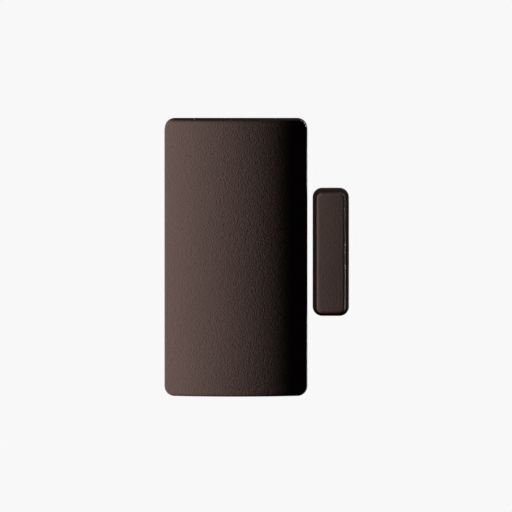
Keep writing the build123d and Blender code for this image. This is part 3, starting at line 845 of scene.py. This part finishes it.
# Where the tracks run, as (x, z) corners
SIGNAL_ROUTES = (
    ((-12.8, 20.3), (-9.65, 20.3), (-8.945, 19.6)),
    ((-12.8, 23.2), (-9.0, 23.2)),
    ((-12.8, 26.1), (-9.0, 26.1)),
    ((-12.8, 17.4), (-11.15, 17.4), (-11.15, 16.4)),
    ((-12.8, 14.5), (-10.9, 14.5), (-7.675, 17.7), (-7.675, 19.6)),
    ((-14.4, 14.5), (-15.6, 15.7), (-15.6, 27.6), (-13.0, 30.2), (-9.9, 30.2), (-8.945, 29.3)),
    ((-9.25, 16.4), (-9.25, 12.6), (-11.1, 10.75)),
    ((-6.405, 19.6), (-6.405, 12.0)),
    ((-5.135, 19.6), (-5.135, 15.4), (-3.75, 14.0)),
    ((-2.595, 19.6), (-2.595, 18.6), (-1.9, 17.9), (1.0, 17.9), (1.65, 18.55), (1.65, 19.3)),
    ((-1.325, 19.6), (-1.325, 18.9), (0.6, 18.9)),
    ((3.55, 19.3), (3.55, 17.3), (4.9, 15.95)),
    ((2.6, 21.5), (2.6, 23.0), (4.6, 25.0)),
    ((-7.675, 29.3), (-7.675, 31.2), (-9.9, 33.4)),
    ((-2.595, 29.3), (-2.595, 30.6), (-1.4, 31.8), (8.3, 31.8), (9.9, 33.4)),
    ((-1.325, 29.3), (-1.325, 29.9), (-0.6, 30.6), (6.2, 30.6), (7.5, 29.3), (7.5, 28.4)),
    ((-0.055, 29.3), (1.6, 29.3), (4.7, 26.2)),
    ((9.0, 13.2), (9.0, 11.4), (5.6, 8.0), (5.6, 6.2), (6.5, 5.3), (6.5, 4.6)),
    ((13.4, 13.3), (13.4, 11.7), (14.0, 11.1)),
    ((3.4, 4.6), (3.4, 8.2), (1.9, 9.7), (1.9, 10.6)),
    *(((x, low), (x, low + 1.6)) for x in (3.4, 6.5, 9.6) for low in (-1.8, 1.4)),
    ((3.4, 3.8), (6.5, 3.8)),
    ((9.6, 4.6), (9.6, 6.5), (13.1, 10.0), (14.0, 10.5)),
    ((9.6, -3.4), (9.6, -5.0), (11.2, -6.6), (14.0, -8.1)),
    ((3.4, -3.4), (3.4, -5.9), (3.0, -6.3), (3.0, -7.9)),
    ((6.5, -3.4), (6.5, -5.3), (9.9, -8.7)),
    ((14.6, -9.2), (14.6, -10.3), (12.3, -12.6), (12.3, -18.6), (13.75, -20.1), (14.7, -20.3)),
    ((10.0, -12.1), (10.8, -12.9), (10.8, -17.3)),
    ((3.0, -12.1), (3.0, -16.2)),
    ((5.0, -16.2), (7.0, -16.2)),
    ((9.0, -16.2), (10.8, -16.2)),
    ((13.75, -22.7), (13.75, -24.2), (11.0, -26.9)),
    ((7.0, -26.9), (4.2, -24.1), (4.2, -18.4), (3.0, -17.2), (3.0, -16.2)),
    ((15.65, -22.7), (15.65, -30.0)),
)
POWER_ROUTES = (
    ((-4.1, 10.0), (-0.9, 10.0), (0.3, 8.8), (2.0, 7.1), (2.0, -6.0)),
    ((-4.1, -33.3), (3.6, -33.3)),
    ((-9.2, 11.2), (-9.2, 12.1), (-3.9, 12.1), (-3.4, 12.6)),
    ((15.7, 31.0), (15.7, 12.4), (15.3, 11.6)),
)
VIAS = (
    (-15.6, 24.0), (-11.1, 12.4), (-6.405, 12.9), (-0.5, 33.4), (5.2, 33.5), (13.9, 28.4), (2.0, 0.6),
    (2.0, -4.2), (12.3, -15.0), (10.8, -17.3), (15.65, -26.4), (3.6, -24.5), (15.7, 20.6), (-1.9, 31.3),
    (12.2, 1.6), (12.2, 4.4), (-16.0, 12.0), (2.6, -28.2), (1.0, -34.3), (13.9, -33.6),
)


class CONTACT_OT_add_tracks(bpy.types.Operator):
    """Lays the masked copper tracks and the vias on the board"""

    bl_idname = "contact.add_tracks"
    bl_label = "Add the tracks"

    def execute(self, context):
        colours, sizes, _ = settings(context)
        back, front = BOARD_FRONT - SUNK, BOARD_FRONT + sizes.track_rise
        tracks = Shape()
        for route in SIGNAL_ROUTES:
            tracks.ribbon(route, sizes.track, back, front)
        for route in POWER_ROUTES:
            tracks.ribbon(route, sizes.power_track, back, front - POWER_DROP)
        copper = masked_copper(colours.board, colours.copper)
        tracks.finish("board_tracks", "housing", "board_laminate", copper)
        vias = Shape()
        for x, z in VIAS:
            vias.washer(x, z, *VIA, back, front + 0.015)
        vias.finish("board_vias", "housing", "tinned_wire", bright_solder((0.70, 0.58, 0.36)))
        return {"FINISHED"}


class CONTACT_OT_add_pads(bpy.types.Operator):
    """Puts a tinned pad under every soldered foot and lead"""

    bl_idname = "contact.add_pads"
    bl_label = "Add the pads"

    def execute(self, context):
        colours, sizes, _ = settings(context)
        back, front = BOARD_FRONT - SUNK, BOARD_FRONT + sizes.track_rise + PAD_RISE
        margin = sizes.pad_margin
        pads = Shape()
        for x, z, half_x, half_z, _, away in chip_part_ends():
            middle = Vector((x, z)) + away * margin * 0.6
            reach_x = half_x + margin * (0.35 + 0.45 * abs(away.x))
            reach_z = half_z + margin * (0.35 + 0.45 * abs(away.y))
            pads.pillow(middle.x, middle.y, reach_x, reach_z, back, front)
        for x, heel, side in lead_feet():
            pads.pillow(x, heel + side * 0.55, *LEAD_PAD, back, front)
        for x, z, side in transistor_feet():
            pads.pillow(x, z + side * 0.2, *FOOT_PAD, back, front)
        for side in (-1, 1):
            pads.pillow(TANK_X + side * 3.35, TANK_Z, *TANK_PAD, back, front)
            for up in (-1, 1):
                foot_z = TAMPER_Z + up * TAMPER_FOOT_Z
                pads.pillow(TAMPER_X + side * 3.55, foot_z, *TAMPER_PAD, back, front)
        for low_z, high_z in CLIP_PAD_SPANS:
            middle, half = (low_z + high_z) / 2, (high_z - low_z) / 2
            pads.pillow(CELL_X, middle, CLIP_PAD_HALF_WIDTH, half, back, front, 0.4)
        for x, z, _ in WIRES:
            pads.washer(x, z, *WIRE_PAD, back, front)
            pads.washer(x, z, *WIRE_PAD, BOARD_BACK - 0.05, BOARD_BACK + SUNK)
        pads.finish("board_pads", "housing", "tinned_wire", bright_solder(colours.tin))
        return {"FINISHED"}


class CONTACT_OT_add_legend(bpy.types.Operator):
    """Prints plain outlines of the parts on the board"""

    bl_idname = "contact.add_legend"
    bl_label = "Add the printed outlines"

    def execute(self, context):
        colours, _, _ = settings(context)
        back, front = BOARD_FRONT - SUNK, BOARD_FRONT + 0.03
        legend = Shape()

        def line(*points, width=0.16):
            legend.ribbon(points, width, back, front)

        for name, margin in (("tamper_switch_body", 0.45), ("crystal_can", 0.4), ("terminal_block", 0.4)):
            low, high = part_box(name)
            left, right = low.x / MM - margin, high.x / MM + margin
            bottom, top = low.z / MM - margin, high.z / MM + margin
            reach_x, reach_z = (min(1.6, (far - near) / 3) for near, far in ((left, right), (bottom, top)))
            for x, inward_x in ((left, reach_x), (right, -reach_x)):
                for z, inward_z in ((bottom, reach_z), (top, -reach_z)):
                    line((x + inward_x, z), (x, z), (x, z + inward_z))
        for low, high in islands("chip_resistors") + islands("chip_capacitors"):
            if high[2] - low[2] > high[0] - low[0]:
                for x in (low[0] - 0.45, high[0] + 0.45):
                    line((x, low[2] + 0.25), (x, high[2] - 0.25), width=0.14)
            else:
                for z in (low[2] - 0.45, high[2] + 0.45):
                    line((low[0] + 0.25, z), (high[0] - 0.25, z), width=0.14)
        legend.washer(RESONATOR_X, RESONATOR_Z, 4.95, 5.12, back, front)
        legend.washer(-10.3, 21.3, 0.02, 0.26, back, front)
        for x in (CHIP_LOW_CORNER[0] - 0.25, CHIP_LOW_CORNER[0] + CHIP_WIDTH + 0.25):
            line((x, CHIP_LOW_CORNER[1] + 0.4), (x, CHIP_LOW_CORNER[1] + 7.1))
        for x in (REED_X - 1.7, REED_X + 1.7):
            line((x, REED_OUTLINE_LOW), (x, REED_OUTLINE_HIGH))
        line((-2.6, 34.6), (2.6, 34.6), width=0.3)
        legend.finish("board_legend", "housing", "board_laminate", printed_ink(colours.legend), smooth=False)
        return {"FINISHED"}


class CONTACT_OT_add_solder(bpy.types.Operator):
    """Flows solder up every lead, foot and metal end"""

    bl_idname = "contact.add_solder"
    bl_label = "Add the solder"

    def execute(self, context):
        colours, sizes, _ = settings(context)
        solder = bright_solder(colours.tin)
        cones = Shape()
        rises = ((1.0, 0.0), (1.0, 0.05), (0.86, 0.14), (0.66, 0.34), (0.5, 0.62), (0.42, 0.9), (0.36, 1.0))
        neck = rises[-1][0]
        for x, z, wire in WIRES:
            widen = (wire + 0.03) / (neck * sizes.joint_radius)
            for start, reach in ((BOARD_BACK + SUNK, -1.0), (BOARD_FRONT - SUNK, 0.45)):
                reach *= sizes.joint_height
                profile = [(0.02, start)]
                for share, rise in rises:
                    spread = share + (widen - 1) * neck * rise
                    profile.append((sizes.joint_radius * spread, start + reach * rise))
                cones.turned(x, z, [*profile, (0.02, start + reach)])
        cones.finish("lead_solder", "housing", "tinned_wire", solder)

        fillets = Shape()
        base = BOARD_FRONT + sizes.track_rise
        for x, z, half_x, half_z, top, away in chip_part_ends():
            along, across = (half_x, half_z) if abs(away.x) > 0.5 else (half_z, half_x)
            high = base + (top - base) * 0.82
            fillets.wedge(x, z, away.x, away.y, across * 0.94, along - 0.04, 0.36, base, high)
        for x, heel, side in lead_feet():
            fillets.wedge(x, heel + side * 0.95, 0.0, side, 0.24, 0.0, 0.38, base, base + 0.2)
            fillets.wedge(x, heel + side * 0.05, 0.0, -side, 0.24, 0.0, 0.28, base, base + 0.45)
        for x, z, side in transistor_feet():
            fillets.wedge(x, z + side * 0.12, 0.0, side, 0.26, 0.0, 0.4, base, base + 0.25)
        for side in (-1, 1):
            fillets.wedge(TANK_X + side * 3.25, TANK_Z, side, 0.0, 0.5, 0.0, 0.7, base, base + 0.5)
        for step in range(-3, 4):
            for z, side, reach in CLIP_JOINTS:
                fillets.wedge(CELL_X + 1.2 * step, z, 0.0, side, 0.66, 0.0, reach, base, base + 0.36)
        fillets.finish("foot_solder", "housing", "tinned_wire", solder)
        return {"FINISHED"}


class CONTACT_OT_add_feet(bpy.types.Operator):
    """Bends the tamper switch's four feet and the capacitor's two tabs"""

    bl_idname = "contact.add_feet"
    bl_label = "Add the feet and tabs"

    def execute(self, context):
        colours, _, _ = settings(context)
        feet = Shape()
        bend = ((2.9, 7.5), (3.22, 7.5), (3.4, 7.36), (3.46, 7.1), (3.5, 6.45), (3.62, 6.27), (4.15, 6.24))
        thick = 0.16

        def tab(x, z, side, half, route):
            """A strip bent along (away, depth) stations, on one side of a part."""
            rings = []
            for place, (away, depth) in enumerate(route):
                before = route[max(place - 1, 0)]
                after = route[min(place + 1, len(route) - 1)]
                along = Vector((after[0] - before[0], after[1] - before[1])).normalized()
                lift = Vector((along.y, -along.x)) * -thick / 2
                ring = []
                for across, way in ((-half, 1), (half, 1), (half, -1), (-half, -1)):
                    ring.append((x + side * (away + way * lift.x), depth + way * lift.y, z + across))
                rings.append(ring)
            feet.loops(rings)

        for side in (-1, 1):
            for up in (-1, 1):
                tab(TAMPER_X, TAMPER_Z + up * TAMPER_FOOT_Z, side, 0.35, bend)
            tab(TANK_X, TANK_Z, side, 0.4, ((2.6, 6.24), (3.2, 6.24), (3.7, 6.24)))
        formed = metal("Formed feet", colours.tin, 0.25, 0.3, (1, 1, 1))
        feet.finish("switch_feet", "housing", "tinned_wire", formed, smooth=False)
        return {"FINISHED"}


class CONTACT_OT_add_ejector_marks(bpy.types.Operator):
    """Leaves the mould's ejector marks inside the cover"""

    bl_idname = "contact.add_ejector_marks"
    bl_label = "Add the ejector marks"

    def execute(self, context):
        colours, _, _ = settings(context)
        plain = moulding("Ejector witness", colours.plastic, 0.5, 0.3, 4.0, 0.08)
        inner = HOUSING_DEPTH - COVER_WALL
        root, rim, face = inner + 0.15, inner - 0.1, inner - 0.14
        disc = ((0.05, root), (EJECTOR_RADIUS, root), (EJECTOR_RADIUS, rim), (1.6, face), (0.05, face))
        marks = Shape()
        for z in EJECTOR_HEIGHTS:
            marks.turned(0.0, z, disc)
        marks.finish("cover_ejector_marks", "cover", "housing_plastic", plain)
        return {"FINISHED"}


def shells(objects):
    """The pieces that are housings."""
    return [piece for piece in objects if piece.name in SHELLS]


class CONTACT_OT_build_studio(bpy.types.Operator):
    """Sets up the camera, the soft lights and the pale ground"""

    bl_idname = "contact.build_studio"
    bl_label = "Build the studio"

    def execute(self, context):
        _, _, studio = settings(context)
        scene = context.scene
        low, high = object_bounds()
        aim = (low + high) / 2 + AIM_SHIFT

        eye = bpy.data.cameras.new("Camera")
        eye.lens, eye.sensor_width = studio.lens, 36.0
        eye.clip_start, eye.clip_end = 0.05, 20.0
        camera = bpy.data.objects.new("Camera", eye)
        tilt = studio.elevation
        back = Vector((0.0, -math.cos(tilt), math.sin(tilt)))
        camera.location = aim + back * studio.distance
        camera.rotation_euler = (-back).to_track_quat("-Z", "Y").to_euler()
        scene.collection.objects.link(camera)
        scene.camera = camera

        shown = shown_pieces()
        magnet = [piece for piece in shown if set(body_of(piece) or ()) & set(MAGNET_BODIES)]
        transmitter = [piece for piece in shown if piece not in magnet]
        around_magnet = [*magnet, bpy.data.objects["mounting_base"]]
        contents = [piece for piece in shown if piece.name not in SHELLS]

        # Each light's angle to the left of the view and its height, in degrees, then its sides and its power
        left, power = math.degrees(studio.key_angle), studio.key_power
        key = self.softbox(scene, "Transmitter key", aim, left, 3.0, (0.12, 0.12), power)
        self.confine(key, shells(transmitter), transmitter)
        key = self.softbox(scene, "Magnet key", aim, left, 3.0, (0.12, 0.12), power * studio.magnet_share)
        self.confine(key, shells(magnet), around_magnet)
        top = self.softbox(scene, "Magnet top", aim, 3.0, 55.0, (0.2, 0.2), studio.magnet_top_power)
        self.confine(top, shells(magnet), magnet)
        inside = self.softbox(scene, "Inside", aim, -20.0, -12.0, (0.6, 0.6), studio.inside_power)
        self.confine(inside, contents, shown)
        self.softbox(scene, "Back", aim, 180.0, -5.0, (0.12, 0.1), studio.back_power)
        self.softbox(scene, "Sheen", aim, 135.0, 25.0, (0.2, 0.2), studio.sheen_power)
        self.softbox(scene, "Side", aim, -140.0, 0.0, (0.15, 0.15), studio.side_power)

        self.backdrop(scene, studio)
        self.ground(scene, studio)
        scene.view_settings.view_transform = "Standard"
        return {"FINISHED"}

    @staticmethod
    def softbox(scene, name, aim, leftwards, elevation, size, power):
        """A soft light, placed by its angle to the left of the view and its height, both in degrees."""
        lamp = bpy.data.lights.new(name, "AREA")
        lamp.shape, lamp.size, lamp.size_y = "RECTANGLE", size[0], size[1]
        lamp.energy = power
        light = bpy.data.objects.new(name, lamp)
        turn, rise = math.radians(leftwards), math.radians(elevation)
        away = Vector((-math.sin(turn) * math.cos(rise), -math.cos(turn) * math.cos(rise), math.sin(rise)))
        light.location = aim + away * LIGHT_DISTANCE
        light.rotation_euler = (-away).to_track_quat("-Z", "Y").to_euler()
        scene.collection.objects.link(light)
        return light

    @staticmethod
    def confine(light, lit, shading):
        """Limits what a light falls on, and what may throw a shadow in it."""
        sets = []
        for purpose, members in (("lit", lit), ("shading", shading)):
            chosen = bpy.data.collections.new(f"{light.name} {purpose}")
            for piece in members:
                chosen.objects.link(piece)
            sets.append(chosen)
        light.light_linking.receiver_collection, light.light_linking.blocker_collection = sets

    @staticmethod
    def backdrop(scene, studio):
        """White where the camera looks past the object, and nearly dark as a source of light."""
        world = bpy.data.worlds.new("Studio")
        world.use_nodes = True
        nodes, links = world.node_tree.nodes, world.node_tree.links
        nodes.clear()
        path = nodes.new("ShaderNodeLightPath")
        seen, glow = nodes.new("ShaderNodeBackground"), nodes.new("ShaderNodeBackground")
        seen.inputs["Strength"].default_value = studio.backdrop
        glow.inputs["Strength"].default_value = studio.ambient
        seen.inputs["Color"].default_value = glow.inputs["Color"].default_value = (1, 1, 1, 1)
        mixer, output = nodes.new("ShaderNodeMixShader"), nodes.new("ShaderNodeOutputWorld")
        links.new(path.outputs["Is Camera Ray"], mixer.inputs[0])
        links.new(glow.outputs[0], mixer.inputs[1])
        links.new(seen.outputs[0], mixer.inputs[2])
        links.new(mixer.outputs[0], output.inputs["Surface"])
        scene.world = world

    @staticmethod
    def ground(scene, studio):
        """A pale round floor below the object, as bright as the backdrop."""
        shape = bmesh.new()
        bmesh.ops.create_circle(shape, cap_ends=True, segments=96, radius=FLOOR_RADIUS)
        data = bpy.data.meshes.new("Floor")
        shape.to_mesh(data)
        shape.free()
        floor = bpy.data.objects.new("Floor", data)
        floor.matrix_world = Matrix.Translation((0.0, 0.0, FLOOR_HEIGHT))
        pale = bpy.data.materials.new("Pale floor")
        pale.use_nodes = True
        pale.node_tree.nodes.clear()
        glow = pale.node_tree.nodes.new("ShaderNodeEmission")
        glow.inputs["Strength"].default_value = studio.backdrop
        output = pale.node_tree.nodes.new("ShaderNodeOutputMaterial")
        pale.node_tree.links.new(glow.outputs[0], output.inputs["Surface"])
        data.materials.append(pale)
        for unseen in ("visible_diffuse", "visible_glossy", "visible_transmission", "visible_shadow"):
            setattr(floor, unseen, False)
        scene.collection.objects.link(floor)
        floor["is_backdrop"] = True


OPERATORS = (
    CONTACT_OT_finish_housings,
    CONTACT_OT_finish_board,
    CONTACT_OT_finish_power,
    CONTACT_OT_finish_switches,
    CONTACT_OT_finish_components,
    CONTACT_OT_add_tracks,
    CONTACT_OT_add_pads,
    CONTACT_OT_add_legend,
    CONTACT_OT_add_solder,
    CONTACT_OT_add_feet,
    CONTACT_OT_add_ejector_marks,
    CONTACT_OT_build_studio,
)


class CONTACT_PT_panel(bpy.types.Panel):
    """Lists the settings and the steps"""

    bl_idname = "CONTACT_PT_panel"
    bl_label = "Door contact"
    bl_space_type = "VIEW_3D"
    bl_region_type = "UI"
    bl_category = "Door contact"

    def draw(self, context):
        for group in settings(context):
            box = self.layout.box()
            for name in group.__annotations__:
                box.prop(group, name)
        for operator in OPERATORS:
            self.layout.operator(operator.bl_idname)


GROUPS = {"contact_colours": ContactColours, "contact_sizes": ContactSizes, "contact_studio": StudioSettings}


def register():
    for group in (*GROUPS.values(), *OPERATORS, CONTACT_PT_panel):
        bpy.utils.register_class(group)
    for name, group in GROUPS.items():
        setattr(bpy.types.Scene, name, bpy.props.PointerProperty(type=group))


def unregister():
    for name in GROUPS:
        delattr(bpy.types.Scene, name)
    for group in (CONTACT_PT_panel, *reversed(OPERATORS), *reversed(list(GROUPS.values()))):
        bpy.utils.unregister_class(group)


def main():
    register()
    for operator in OPERATORS:
        prefix, name = operator.bl_idname.split(".")
        getattr(getattr(bpy.ops, prefix), name)()


if __name__ == "__main__":
    main()
